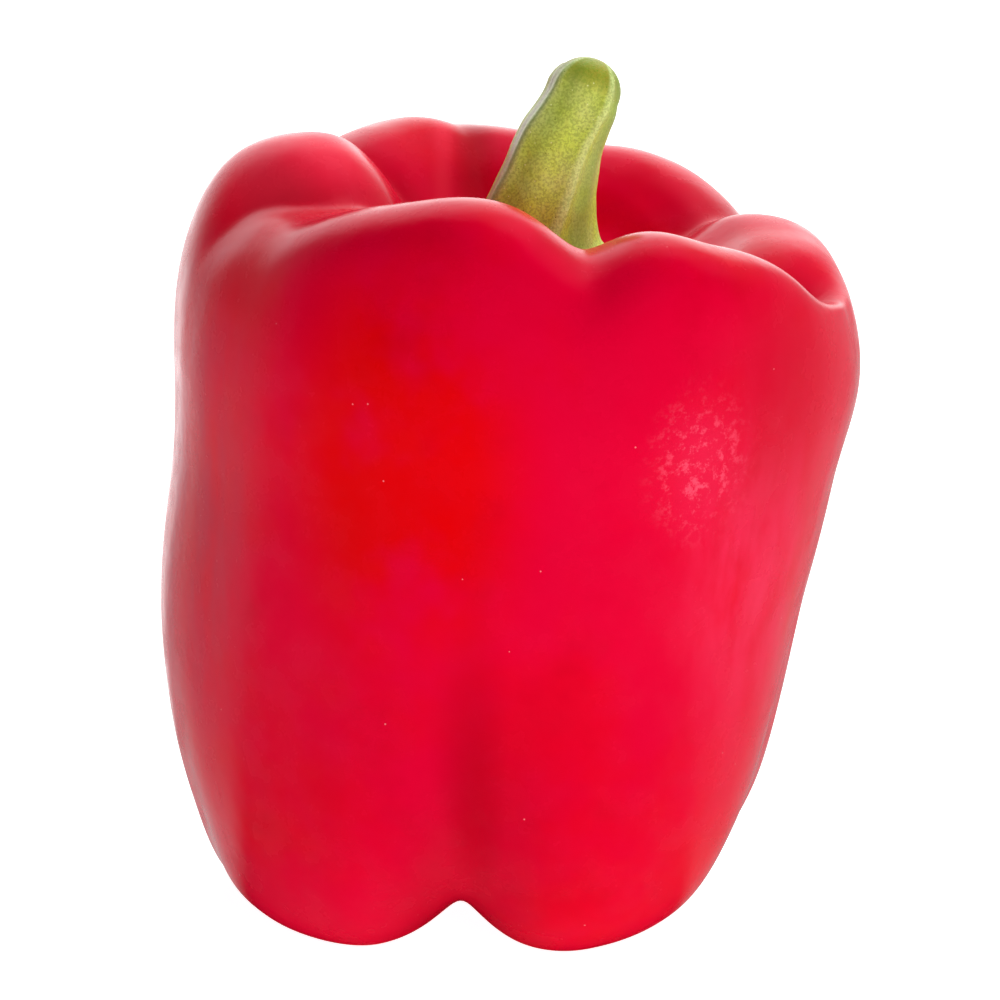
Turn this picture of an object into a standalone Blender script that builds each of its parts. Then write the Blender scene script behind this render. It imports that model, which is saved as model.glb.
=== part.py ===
"""Red bell pepper: the lobed fruit, the green calyx in its crown and the cut stem. Metres, +Z up."""

import math

import bmesh
import bpy
from mathutils import Matrix, Vector

MM = 0.001

# Outline of a lobe's middle from the crown's centre over the rim and down to the blossom end.
# Each pair is (share of the lobe's reach, height in mm).
LOBE_PROFILE = [
    (0.00, 84.6), (0.14, 84.2), (0.26, 85.4), (0.37, 90.0), (0.48, 96.2),
    (0.61, 99.9), (0.77, 98.9), (0.895, 94.8), (0.97, 87.5), (1.00, 77.0),
    (0.985, 62.0), (0.955, 46.0), (0.91, 30.0), (0.84, 16.0), (0.735, 6.4),
    (0.60, 1.4), (0.45, 0.4), (0.28, 3.6), (0.10, 7.4), (0.00, 8.4),
]
# The same outline for a lobe with a fully boxy shoulder: the top of it, down to the widest point.
BOXY_PROFILE = [
    (0.00, 84.6), (0.14, 84.2), (0.26, 85.2), (0.38, 88.8), (0.51, 94.6),
    (0.66, 99.4), (0.82, 100.2), (0.935, 96.8), (0.985, 88.0),
] + LOBE_PROFILE[9:]
# The same outline along the bottom of a full-depth groove between two lobes.
GROOVE_PROFILE = [
    (0.00, 84.6), (0.14, 83.9), (0.26, 84.2), (0.36, 86.4), (0.46, 89.8),
    (0.57, 91.5), (0.71, 89.9), (0.83, 85.0), (0.90, 77.0), (0.93, 66.0),
    (0.915, 54.0), (0.88, 41.0), (0.81, 28.0), (0.72, 17.0), (0.60, 10.6),
    (0.46, 7.4), (0.32, 6.6), (0.19, 7.2), (0.07, 8.2), (0.00, 8.4),
]
# Lobes counter-clockwise from the front left one: reach in mm at the shoulder, the waist and the
# foot, how far the rim and the foot stand above the profile, in mm, and how boxy the shoulder is.
LOBES = [
    (45.6, 44.4, 46.2, -1.0, 0.4, 1.0),
    (44.3, 43.5, 46.4, -6.2, 0.1, 0.9),
    (42.6, 41.3, 44.5, -9.8, 1.6, 0.3),
    (44.0, 43.5, 44.0, -4.2, 0.4, 0.0),
    (44.0, 43.5, 44.0, 2.0, 0.4, 0.0),
    (46.9, 45.4, 46.4, 3.4, 1.6, 0.3),
]
# Grooves, each before the lobe of the same row: angle in degrees at the rim, the shoulder and the
# foot, depth at the rim, the waist and the foot, height in mm where the rim's depth ends, and
# sharpness.
GROOVES = [
    (208.0, 197.0, 197.0, 0.52, 0.05, 0.10, 84.0, 2.0),
    (277.0, 277.0, 268.0, 0.36, 0.12, 1.15, 88.0, 3.4),
    (337.0, 343.0, 343.0, 0.74, 0.06, 0.30, 91.5, 2.4),
    (394.0, 394.0, 410.0, 0.70, 0.30, 0.35, 60.0, 2.4),
    (477.0, 477.0, 455.0, 0.20, 0.30, 1.00, 60.0, 2.4),
    (521.0, 521.0, 505.0, 0.80, 0.25, 0.35, 66.0, 2.4),
]
# Swellings and dents: angle and width in degrees, height and half-height in mm, and how far they
# push the skin outward and upward, in mm.
SWELLINGS = [
    (185.0, 32.0, 42.0, 13.0, 1.4, 0.0),
    (190.0, 30.0, 14.0, 10.0, -1.2, 0.0),
    (190.0, 14.0, 94.0, 10.0, 0.6, 0.0),
    (212.0, 26.0, 4.0, 9.0, 0.8, 0.0),
    (212.0, 11.0, 98.0, 12.0, 0.0, -1.4),
    (226.0, 20.0, 98.0, 12.0, 0.0, -1.0),
    (256.0, 24.0, 100.0, 14.0, 0.0, 2.4),
    (276.0, 12.0, 2.0, 6.0, -0.4, 0.2),
    (278.0, 12.0, 97.0, 12.0, 0.0, -1.9),
    (289.0, 14.0, 94.0, 12.0, 0.0, 2.4),
    (318.0, 30.0, 5.0, 10.0, 2.0, 0.0),
    (320.0, 14.0, 92.0, 12.0, 0.0, -1.2),
    (332.0, 10.0, 90.0, 10.0, 0.0, -1.2),
    (351.0, 26.0, 88.0, 10.0, -0.8, -0.8),
    (352.0, 26.0, 22.0, 14.0, -1.0, 0.0),
    (28.0, 16.0, 92.0, 12.0, 0.0, 1.3),
    (105.0, 20.0, 100.0, 12.0, 0.0, 0.8),
    (146.0, 18.0, 100.0, 12.0, 0.0, -1.7),
]
GROOVE_ROUNDING = 0.10
FOOT_SHARPNESS = 2.3
LEAN_DEG = 7.1
RECESS_SHIFT = 1.2
FOOT_CUT = 0.9
CROWN_SIDE_END = 0.26
FRUIT_SEGMENTS = 72
FRUIT_RINGS = 44

CALYX_GAP = 0.35
CALYX_THICKNESS = 1.3
CALYX_EDGE = 0.5
CALYX_INNER_SHARE = 0.29
CALYX_TOOTH_SHARE = 0.05
CALYX_TEETH = 6
CALYX_SEGMENTS = 72
CALYX_RINGS = 9

# Stem rings from the flared base to the cut: centre x, centre y, height and radius in mm.
STEM_RINGS = [
    (8.1, 0.0, 87.4, 8.8), (8.3, 0.0, 88.8, 8.2), (8.8, 0.0, 90.8, 7.4), (9.3, 0.0, 92.4, 7.0),
    (9.85, 0.0, 94.2, 6.6), (10.5, 0.0, 96.3, 6.15), (11.3, 0.0, 99.0, 5.8), (12.2, 0.1, 101.5, 5.45),
    (13.5, 0.3, 103.9, 5.1), (14.5, 0.5, 105.8, 4.9), (15.3, 0.6, 107.5, 4.65), (15.9, 0.7, 108.8, 4.15),
    (16.35, 0.8, 109.9, 3.1), (16.6, 0.8, 110.5, 1.8),
]
STEM_GAP = 0.3
STEM_SEAT_SHARE = 0.205
STEM_RIDGES = 5
STEM_RIDGE_DEPTH = 0.07
STEM_RIDGE_TURN_DEG = 40.0
STEM_LEAN_DEG = 23.0
STEM_CUT_BACK_DEG = 14.0
STEM_SEGMENTS = 40


def clear_scene():
    for obj in list(bpy.data.objects):
        bpy.data.objects.remove(obj, do_unlink=True)


def smooth(x):
    x = min(max(x, 0.0), 1.0)
    return x * x * (3.0 - 2.0 * x)


def mix(a, b, share):
    return a + (b - a) * share


def curve_point(points, t):
    """A smooth curve through the points, t from 0 to 1, mirrored about the axis at both ends."""
    last = len(points) - 1
    i = min(int(t * last), last - 1)
    f = t * last - i
    p1 = points[i]
    p2 = points[i + 1]
    p0 = points[i - 1] if i > 0 else (-points[1][0], points[1][1])
    p3 = points[i + 2] if i + 2 <= last else (-points[last - 1][0], points[last - 1][1])
    out = []
    for a, b, c, d in zip(p0, p1, p2, p3):
        bend = (2 * a - 5 * b + 4 * c - d) * f * f + (3 * b - a - 3 * c + d) * f * f * f
        out.append(0.5 * (2 * b + (c - a) * f + bend))
    return out


def swell(theta, height):
    """How far the swellings push the skin outward and upward here, in mm."""
    outward = 0.0
    upward = 0.0
    for angle, width, middle, half_height, out, up in SWELLINGS:
        turn = (math.degrees(theta) - angle + 180.0) % 360.0 - 180.0
        strength = math.exp(-((turn / width) ** 2) - ((height - middle) / half_height) ** 2)
        outward += out * strength
        upward += up * strength
    return outward, upward


def fruit_point(t, theta):
    """The fruit's skin at t from the crown's centre (0) to the blossom end (1), in mm."""
    round_share, round_height = curve_point(LOBE_PROFILE, t)
    boxy_share, boxy_height = curve_point(BOXY_PROFILE, t)
    groove_share, groove_height = curve_point(GROOVE_PROFILE, t)
    crown_side = t < CROWN_SIDE_END
    to_shoulder = smooth((t - 0.28) / 0.08)
    to_foot = smooth((t - 0.36) / 0.44)
    angles = [math.radians(mix(mix(g[0], g[1], to_shoulder), g[2], to_foot)) for g in GROOVES]
    count = len(angles)
    where = (theta - angles[0]) % (2 * math.pi) + angles[0]
    i = max(k for k in range(count) if angles[k] <= where + 1e-12)
    spans = [((angles[(k + 1) % count] - angles[k]) % (2 * math.pi)) for k in range(count)]
    s = (where - angles[i] - spans[i] / 2) / (spans[i] / 2)
    side = i if s < 0 else (i + 1) % count
    _, _, _, rim_depth, waist_depth, foot_depth, rim_end, rim_sharpness = GROOVES[side]
    rim = 1.0 if crown_side else smooth((round_height - rim_end) / (98.0 - rim_end))
    foot = 0.0 if t < 0.3 else smooth((52.0 - round_height) / 44.0)
    depth = rim * rim_depth + foot * foot_depth + (1.0 - rim - foot) * waist_depth
    sharp = mix(FOOT_SHARPNESS, rim_sharpness, min(1.0, max(0.0, (round_height - 20.0) / 50.0)))
    away = math.sqrt((1.0 - abs(s)) ** 2 + GROOVE_ROUNDING**2)
    weight = depth * max(0.0, 1.0 - away) ** sharp

    other = (i - 1) % count if s < 0 else (i + 1) % count
    blend = smooth(abs(s) * spans[i] / (spans[i] + spans[other]))
    top = 1.0 if crown_side else smooth((round_height - 60.0) / 22.0)
    low = 0.0 if t < 0.3 else smooth((45.0 - round_height) / 30.0)
    lobe = [mix(a, b, blend) for a, b in zip(LOBES[i], LOBES[other])]
    shoulder, waist, toe, rim_lift, foot_lift, boxy = lobe
    reach = top * shoulder + low * toe + (1.0 - top - low) * waist

    radius = mix(mix(round_share, boxy_share, boxy), groove_share, weight) * reach
    z = mix(mix(round_height, boxy_height, boxy), groove_height, weight)
    outside_recess = smooth((round_share - 0.12) / 0.45)
    lift_share = smooth((round_height - 45.0) / 50.0)
    if crown_side:
        lift_share *= outside_recess
    z += rim_lift * lift_share
    z += foot_lift * smooth((40.0 - round_height) / 38.0) * smooth(round_share / 0.35)
    outward, upward = swell(theta, z)
    radius += outward * outside_recess * smooth((t - 0.20) / 0.10)
    z += upward * outside_recess
    x = radius * math.cos(theta) + (z - 8.0) * math.tan(math.radians(LEAN_DEG))
    if crown_side:
        x -= RECESS_SHIFT * (1.0 - smooth(round_share / 0.55))
    return Vector((x, radius * math.sin(theta), z - FOOT_CUT))


def crown_t(share):
    """The t at which the lobe outline reaches this share, inside the crown's recess."""
    low, high = 0.0, CROWN_SIDE_END
    for _ in range(30):
        middle = (low + high) / 2
        if curve_point(LOBE_PROFILE, middle)[0] < share:
            low = middle
        else:
            high = middle
    return (low + high) / 2


def crown_offset(share, theta, distance):
    """A point this far above the recess, square to its skin."""
    t = crown_t(share)
    here = fruit_point(t, theta)
    along = fruit_point(t + 0.004, theta) - fruit_point(max(t - 0.004, 0.0), theta)
    around = fruit_point(t, theta + 0.02) - fruit_point(t, theta - 0.02)
    if around.length < 1e-4:
        return here + Vector((0.0, 0.0, distance))
    normal = along.cross(around).normalized()
    if normal.z < 0:
        normal = -normal
    return here + normal * distance


def make_material(name, colour, roughness):
    material = bpy.data.materials.new(name)
    material.use_nodes = True
    shader = material.node_tree.nodes["Principled BSDF"]
    shader.inputs["Base Color"].default_value = (*colour, 1.0)
    shader.inputs["Roughness"].default_value = roughness
    shader.inputs["Metallic"].default_value = 0.0
    return material


def finish(bm, name, collection, material, flat_down=False):
    for vert in bm.verts:
        vert.co *= MM
    bmesh.ops.remove_doubles(bm, verts=bm.verts, dist=1e-7)
    bmesh.ops.recalc_face_normals(bm, faces=bm.faces)
    mesh = bpy.data.meshes.new(name)
    bm.to_mesh(mesh)
    bm.free()
    for polygon in mesh.polygons:
        polygon.use_smooth = not (flat_down and polygon.normal.z < -0.9999)
    mesh.materials.append(material)
    obj = bpy.data.objects.new(name, mesh)
    collection.objects.link(obj)
    return obj


def make_fruit(collection, material):
    """A ball of skin drawn out to the lobed outline, cut level under its feet."""
    bm = bmesh.new()
    bmesh.ops.create_uvsphere(
        bm, u_segments=FRUIT_SEGMENTS, v_segments=FRUIT_RINGS, radius=1.0
    )
    for vert in bm.verts:
        t = math.acos(min(max(vert.co.z, -1.0), 1.0)) / math.pi
        vert.co = fruit_point(t, math.atan2(vert.co.y, vert.co.x))
    bmesh.ops.bisect_plane(
        bm,
        geom=list(bm.verts) + list(bm.edges) + list(bm.faces),
        dist=1e-5,
        plane_co=(0.0, 0.0, 0.0),
        plane_no=(0.0, 0.0, 1.0),
        clear_inner=True,
    )
    rims = [edge for edge in bm.edges if edge.is_boundary]
    bmesh.ops.holes_fill(bm, edges=rims, sides=0)
    return finish(bm, "fruit", collection, material, flat_down=True)


def calyx_reach(theta):
    """Share of the recess that the sepals cover, drawn out to short teeth."""
    tooth = abs(math.cos(CALYX_TEETH * theta / 2 + 0.4)) ** 3
    return CALYX_INNER_SHARE + CALYX_TOOTH_SHARE * tooth


def make_calyx(collection, material):
    """A ball flattened on to the recess: its lower half lies along the skin, its upper half is the back."""
    bm = bmesh.new()
    bmesh.ops.create_uvsphere(
        bm, u_segments=CALYX_SEGMENTS, v_segments=2 * CALYX_RINGS, radius=1.0
    )
    for vert in bm.verts:
        theta = math.atan2(vert.co.y, vert.co.x)
        flat = math.hypot(vert.co.x, vert.co.y)
        turn = math.acos(min(max(vert.co.z, -1.0), 1.0)) / math.pi
        out = 2 * turn if turn < 0.5 else 2 * (1 - turn)
        share = calyx_reach(theta) * out
        thick = mix(CALYX_THICKNESS, CALYX_EDGE, smooth((out - 0.5) / 0.5))
        if flat < 1e-6:
            share = 0.0
        level = CALYX_GAP + thick / 2
        if turn < 0.499:
            level = CALYX_GAP + thick
        elif turn > 0.501:
            level = CALYX_GAP
        vert.co = crown_offset(share, theta, level)
    return finish(bm, "calyx", collection, material)


def stem_outline(theta, radius, lean):
    ridge = 0.5 + 0.5 * math.cos(STEM_RIDGES * (theta - math.radians(STEM_RIDGE_TURN_DEG)))
    radius *= 1.0 + STEM_RIDGE_DEPTH * (ridge**2 - 0.4)
    flat = Vector((radius * math.cos(theta), radius * math.sin(theta), 0.0))
    return Matrix.Rotation(lean, 3, "Y") @ flat


def make_stem(collection, material):
    """Rings lofted up the leaning stalk, seated on the calyx and cut aslant at the end."""
    bm = bmesh.new()
    rings = []
    base = []
    for k in range(STEM_SEGMENTS):
        theta = 2 * math.pi * k / STEM_SEGMENTS
        seat = CALYX_GAP + CALYX_THICKNESS + STEM_GAP
        base.append(crown_offset(STEM_SEAT_SHARE, theta, seat))
    rings.append(base)
    for index, (x, y, z, radius) in enumerate(STEM_RINGS):
        along = index / (len(STEM_RINGS) - 1)
        lean = math.radians(STEM_LEAN_DEG) * smooth(1.25 * along)
        ring = []
        for k in range(STEM_SEGMENTS):
            point = stem_outline(2 * math.pi * k / STEM_SEGMENTS, radius, lean)
            back = math.tan(math.radians(STEM_CUT_BACK_DEG)) * smooth((along - 0.6) / 0.4)
            rise = Matrix.Rotation(lean, 3, "Y") @ Vector((0.0, 0.0, -back * point.y))
            ring.append(Vector((x, y, z)) + point + rise)
        rings.append(ring)
    verts = [[bm.verts.new(point) for point in ring] for ring in rings]
    for lower, upper in zip(verts, verts[1:]):
        for k in range(STEM_SEGMENTS):
            following = (k + 1) % STEM_SEGMENTS
            bm.faces.new((lower[k], lower[following], upper[following], upper[k]))
    for ring, outward in ((verts[0], CALYX_GAP + CALYX_THICKNESS + STEM_GAP), (verts[-1], None)):
        middle = Vector((0.0, 0.0, 0.0))
        for vert in ring:
            middle += vert.co / len(ring)
        if outward is not None:
            middle = crown_offset(0.0, 0.0, outward)
        centre = bm.verts.new(middle)
        for k in range(STEM_SEGMENTS):
            bm.faces.new((ring[k], ring[(k + 1) % STEM_SEGMENTS], centre))
    return finish(bm, "stem", collection, material)


def centre_on_origin(objects):
    """Moves the meshes so that the whole pepper stands on the origin, at the middle of its outline."""
    points = [vert.co for obj in objects for vert in obj.data.vertices]
    low = [min(point[axis] for point in points) for axis in range(3)]
    high = [max(point[axis] for point in points) for axis in range(3)]
    shift = Vector((-(low[0] + high[0]) / 2, -(low[1] + high[1]) / 2, -low[2]))
    for obj in objects:
        obj.data.transform(Matrix.Translation(shift))
    print("shift mm", [round(value / MM, 3) for value in shift])
    print("size mm", [round((b - a) / MM, 3) for a, b in zip(low, high)])


clear_scene()
pepper = bpy.data.collections.new("bell_pepper")
bpy.context.scene.collection.children.link(pepper)
skin = make_material("pepper_skin", (0.62, 0.004, 0.014), 0.28)
sepal_green = make_material("calyx_green", (0.26, 0.33, 0.05), 0.55)
stalk_green = make_material("stem_green", (0.36, 0.38, 0.06), 0.55)
parts = [make_fruit(pepper, skin), make_calyx(pepper, sepal_green), make_stem(pepper, stalk_green)]
centre_on_origin(parts)
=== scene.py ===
"""Red bell pepper: the looks of its fruit, calyx and stem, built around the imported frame."""

import functools
import math

import bmesh
import bpy
from mathutils import Matrix, Vector, noise


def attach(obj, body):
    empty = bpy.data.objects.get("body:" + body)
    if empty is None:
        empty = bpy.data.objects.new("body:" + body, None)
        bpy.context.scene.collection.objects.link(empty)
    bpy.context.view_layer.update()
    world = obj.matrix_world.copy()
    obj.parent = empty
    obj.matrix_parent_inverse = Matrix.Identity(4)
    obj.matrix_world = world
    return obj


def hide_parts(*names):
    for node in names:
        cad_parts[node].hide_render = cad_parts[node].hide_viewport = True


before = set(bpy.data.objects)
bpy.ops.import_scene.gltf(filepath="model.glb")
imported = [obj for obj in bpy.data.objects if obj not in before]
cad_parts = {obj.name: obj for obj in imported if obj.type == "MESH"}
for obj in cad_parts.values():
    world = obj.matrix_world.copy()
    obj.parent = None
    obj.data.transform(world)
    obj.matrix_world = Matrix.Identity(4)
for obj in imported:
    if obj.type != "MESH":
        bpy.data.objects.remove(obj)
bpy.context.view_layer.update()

# ---------------------------------------------------------------------------------------------
# The fruit: one hollow red berry, blunt and blocky, grown as six lobes round a sunken crown. Its
# skin is taut, waxy and glossy over firm flesh, so broad dents and faint ribs show in its shine.
# It stands on the tips of its lobes, leans a little, and is grown on to the calyx in its crown.

MM = 0.001

# A lobe's middle, from the crown's centre over the rim and down to the blossom end, and then the
# bottom of a full-depth groove: (share of the lobe's reach, height in mm).
LOBE_PROFILE = [
    (0.00, 84.6), (0.14, 84.2), (0.26, 85.4), (0.37, 90.0), (0.48, 96.2),
    (0.61, 99.9), (0.77, 98.9), (0.895, 94.8), (0.97, 87.5), (1.00, 77.0),
    (0.985, 62.0), (0.955, 46.0), (0.91, 30.0), (0.84, 16.0), (0.735, 6.4),
    (0.60, 1.4), (0.45, 0.4), (0.28, 3.6), (0.10, 7.4), (0.00, 8.4),
]
# The same outline for a lobe with a fully boxy shoulder: the top of it, down to the widest point.
BOXY_PROFILE = [
    (0.00, 84.6), (0.14, 84.2), (0.26, 85.2), (0.38, 88.8), (0.51, 94.6),
    (0.66, 99.4), (0.82, 100.2), (0.935, 96.8), (0.985, 88.0),
] + LOBE_PROFILE[9:]
# The same outline along the bottom of a full-depth groove between two lobes.
GROOVE_PROFILE = [
    (0.00, 84.6), (0.14, 83.9), (0.26, 84.2), (0.36, 86.4), (0.46, 89.8),
    (0.57, 91.5), (0.71, 89.9), (0.83, 85.0), (0.90, 77.0), (0.93, 66.0),
    (0.915, 54.0), (0.88, 41.0), (0.81, 28.0), (0.72, 17.0), (0.60, 10.6),
    (0.46, 7.4), (0.32, 6.6), (0.19, 7.2), (0.07, 8.2), (0.00, 8.4),
]
# Lobes counter-clockwise from the front left one: reach in mm at the shoulder, the waist and the
# foot, how far the rim and the foot stand above the profile, in mm, and how boxy the shoulder is.
LOBES = [
    (45.6, 44.4, 46.2, -1.0, 0.4, 1.0),
    (44.3, 43.5, 46.4, -6.2, 0.1, 0.9),
    (42.6, 41.3, 44.5, -9.8, 1.6, 0.3),
    (44.0, 43.5, 44.0, -4.2, 0.4, 0.0),
    (44.0, 43.5, 44.0, 2.0, 0.4, 0.0),
    (46.9, 45.4, 46.4, 3.4, 1.6, 0.3),
]
# Grooves, each before the lobe of the same row: angle in degrees at the rim, the shoulder and the
# foot, depth at the rim, the waist and the foot, height in mm where the rim's depth ends, and
# sharpness.
GROOVES = [
    (208.0, 197.0, 197.0, 0.52, 0.05, 0.10, 84.0, 2.0),
    (277.0, 277.0, 268.0, 0.36, 0.12, 1.15, 88.0, 3.4),
    (337.0, 343.0, 343.0, 0.74, 0.06, 0.30, 91.5, 2.4),
    (394.0, 394.0, 410.0, 0.70, 0.30, 0.35, 60.0, 2.4),
    (477.0, 477.0, 455.0, 0.20, 0.30, 1.00, 60.0, 2.4),
    (521.0, 521.0, 505.0, 0.80, 0.25, 0.35, 66.0, 2.4),
]
# Swellings and dents: angle and width in degrees, height and half-height in mm, and how far they
# push the skin outward and upward, in mm.
SWELLINGS = [
    (185.0, 32.0, 42.0, 13.0, 1.4, 0.0),
    (190.0, 30.0, 14.0, 10.0, -1.2, 0.0),
    (190.0, 14.0, 94.0, 10.0, 0.6, 0.0),
    (212.0, 26.0, 4.0, 9.0, 0.8, 0.0),
    (212.0, 11.0, 98.0, 12.0, 0.0, -1.4),
    (226.0, 20.0, 98.0, 12.0, 0.0, -1.0),
    (256.0, 24.0, 100.0, 14.0, 0.0, 2.4),
    (276.0, 12.0, 2.0, 6.0, -0.4, 0.2),
    (278.0, 12.0, 97.0, 12.0, 0.0, -1.9),
    (289.0, 14.0, 94.0, 12.0, 0.0, 2.4),
    (318.0, 30.0, 5.0, 10.0, 2.0, 0.0),
    (320.0, 14.0, 92.0, 12.0, 0.0, -1.2),
    (332.0, 10.0, 90.0, 10.0, 0.0, -1.2),
    (351.0, 26.0, 88.0, 10.0, -0.8, -0.8),
    (352.0, 26.0, 22.0, 14.0, -1.0, 0.0),
    (28.0, 16.0, 92.0, 12.0, 0.0, 1.3),
    (105.0, 20.0, 100.0, 12.0, 0.0, 0.8),
    (146.0, 18.0, 100.0, 12.0, 0.0, -1.7),
]
# How softly a groove's bottom is rounded, as a share of half a lobe, and how sharp every groove
# becomes at the foot.
GROOVE_ROUNDING = 0.10
FOOT_SHARPNESS = 2.3
# The height in mm at which a groove has its full rim depth, the lean of the whole fruit with the
# height in mm that it turns about, how far the recess lies behind the lean, in mm, and how much is
# cut off to lay the lobes' tips flat, in mm.
RIM_TOP = 98.0
LEAN_DEG = 7.1
LEAN_FOOT = 8.0
RECESS_SHIFT = 1.2
FOOT_CUT = 0.9
# The t at which the crown's recess ends, and the t above which nothing of the foot counts.
CROWN_SIDE_END = 0.26
FOOT_FREE_END = 0.3
# Ramps: where each starts and how wide it is, negative where it rises as the value falls.
# Along t: the grooves' angles, the swellings' outward push, and the skin's relief at both ends.
RIM_TO_SHOULDER = (0.28, 0.08)
SHOULDER_TO_FOOT = (0.36, 0.44)
SWELLING_START = (0.20, 0.10)
RELIEF_START = (0.20, 0.12)
RELIEF_END = (0.93, -0.12)
# In mm of height: the grooves' foot depth and sharpness, the lobes' reach and the lobes' lifts.
GROOVE_FOOT = (52.0, -44.0)
GROOVE_SHARPENING = (20.0, 50.0)
SHOULDER_REACH = (60.0, 22.0)
FOOT_REACH = (45.0, -30.0)
RIM_LIFT = (45.0, 50.0)
FOOT_LIFT = (40.0, -38.0)
# As a share of the lobe's reach: out of the recess, on to the foot, and over the shifted recess.
OUT_OF_RECESS = (0.12, 0.45)
ON_TO_FOOT = (0.0, 0.35)
OVER_RECESS = (0.0, 0.55)
# From the fruit's own axis to the frame's origin, in mm.
TO_FRAME = Vector((-5.261, 0.466, 0.0))


def smooth(x):
    x = min(max(x, 0.0), 1.0)
    return x * x * (3.0 - 2.0 * x)


def ramp(x, start, width):
    """Rises smoothly from 0 at the start to 1 a width further on."""
    return smooth((x - start) / width)


def mix(a, b, share):
    return a + (b - a) * share


def turn_from(angle, theta):
    """How far theta, in radians, is turned from an angle in degrees: -180 to 180."""
    return (math.degrees(theta) - angle + 180.0) % 360.0 - 180.0


def curve_between(rows, f):
    """A smooth curve through four points, at f from 0 at the second to 1 at the third."""
    out = []
    for a, b, c, d in zip(*rows):
        bend = (2 * a - 5 * b + 4 * c - d) * f * f + (3 * b - a - 3 * c + d) * f * f * f
        out.append(0.5 * (2 * b + (c - a) * f + bend))
    return out


def curve_point(points, t):
    """A smooth curve through the points, t from 0 to 1, mirrored about the axis at both ends."""
    last = len(points) - 1
    i = min(int(t * last), last - 1)
    before = points[i - 1] if i > 0 else (-points[1][0], points[1][1])
    after = points[i + 2] if i + 2 <= last else (-points[last - 1][0], points[last - 1][1])
    return curve_between((before, points[i], points[i + 1], after), t * last - i)


@functools.lru_cache(maxsize=None)
def ring_at(t):
    """What every point of one level ring of skin shares: its outlines, lobes and grooves."""
    round_share, round_height = curve_point(LOBE_PROFILE, t)
    boxy_share, boxy_height = curve_point(BOXY_PROFILE, t)
    groove_share, groove_height = curve_point(GROOVE_PROFILE, t)
    crown_side = t < CROWN_SIDE_END
    to_shoulder = ramp(t, *RIM_TO_SHOULDER)
    to_foot = ramp(t, *SHOULDER_TO_FOOT)
    angles = [math.radians(mix(mix(g[0], g[1], to_shoulder), g[2], to_foot)) for g in GROOVES]
    count = len(angles)
    spans = [(angles[(k + 1) % count] - angles[k]) % (2 * math.pi) for k in range(count)]
    above_foot = t < FOOT_FREE_END
    foot = 0.0 if above_foot else ramp(round_height, *GROOVE_FOOT)
    sharpening_start, sharpening_width = GROOVE_SHARPENING
    sharpening = min(1.0, max(0.0, (round_height - sharpening_start) / sharpening_width))
    depths = []
    sharps = []
    for _, _, _, rim_depth, waist_depth, foot_depth, rim_end, sharpness in GROOVES:
        rim = 1.0 if crown_side else ramp(round_height, rim_end, RIM_TOP - rim_end)
        depths.append(rim * rim_depth + foot * foot_depth + (1.0 - rim - foot) * waist_depth)
        sharps.append(mix(FOOT_SHARPNESS, sharpness, sharpening))
    top = 1.0 if crown_side else ramp(round_height, *SHOULDER_REACH)
    low = 0.0 if above_foot else ramp(round_height, *FOOT_REACH)
    outlines = (round_share, round_height, boxy_share, boxy_height, groove_share, groove_height)
    return outlines, angles, spans, depths, sharps, top, low


def swell(theta, height):
    """How far the swellings push the skin outward and upward here, in mm."""
    outward = 0.0
    upward = 0.0
    for angle, width, middle, half_height, out, up in SWELLINGS:
        turn = turn_from(angle, theta)
        strength = math.exp(-((turn / width) ** 2) - ((height - middle) / half_height) ** 2)
        outward += out * strength
        upward += up * strength
    return outward, upward


def fruit_point(t, theta):
    """The fruit's skin at t from the crown's centre (0) to the blossom end (1), in mm, with how
    deep in a groove it lies, from 0 to 1."""
    outlines, angles, spans, depths, sharps, top, low = ring_at(t)
    round_share, round_height, boxy_share, boxy_height, groove_share, groove_height = outlines
    crown_side = t < CROWN_SIDE_END
    count = len(angles)
    where = (theta - angles[0]) % (2 * math.pi) + angles[0]
    i = max(k for k in range(count) if angles[k] <= where + 1e-12)
    s = (where - angles[i] - spans[i] / 2) / (spans[i] / 2)
    side = i if s < 0 else (i + 1) % count
    away = math.sqrt((1.0 - abs(s)) ** 2 + GROOVE_ROUNDING**2)
    weight = depths[side] * max(0.0, 1.0 - away) ** sharps[side]
    other = (i - 1) % count if s < 0 else (i + 1) % count
    blend = smooth(abs(s) * spans[i] / (spans[i] + spans[other]))
    shoulder, waist, toe, rim_lift, foot_lift, boxy = [
        mix(a, b, blend) for a, b in zip(LOBES[i], LOBES[other])
    ]
    reach = top * shoulder + low * toe + (1.0 - top - low) * waist
    radius = mix(mix(round_share, boxy_share, boxy), groove_share, weight) * reach
    z = mix(mix(round_height, boxy_height, boxy), groove_height, weight)
    outside_recess = ramp(round_share, *OUT_OF_RECESS)
    lift_share = ramp(round_height, *RIM_LIFT)
    if crown_side:
        lift_share *= outside_recess
    z += rim_lift * lift_share
    z += foot_lift * ramp(round_height, *FOOT_LIFT) * ramp(round_share, *ON_TO_FOOT)
    outward, upward = swell(theta, z)
    radius += outward * outside_recess * ramp(t, *SWELLING_START)
    z += upward * outside_recess
    x = radius * math.cos(theta) + (z - LEAN_FOOT) * math.tan(math.radians(LEAN_DEG))
    if crown_side:
        x -= RECESS_SHIFT * (1.0 - ramp(round_share, *OVER_RECESS))
    return Vector((x, radius * math.sin(theta), z - FOOT_CUT)) + TO_FRAME, weight


# Small unevenness of the skin: slow waves and faint upright ribs, in mm, with the ribs' closeness
# round the fruit and the height over which they change.
WAVE_SIZE = 21.0
WAVE_DEPTH = 0.30
RIB_DEPTH = 0.24
RIB_CLOSENESS = 5.0
RIB_LENGTH = 90.0


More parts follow.
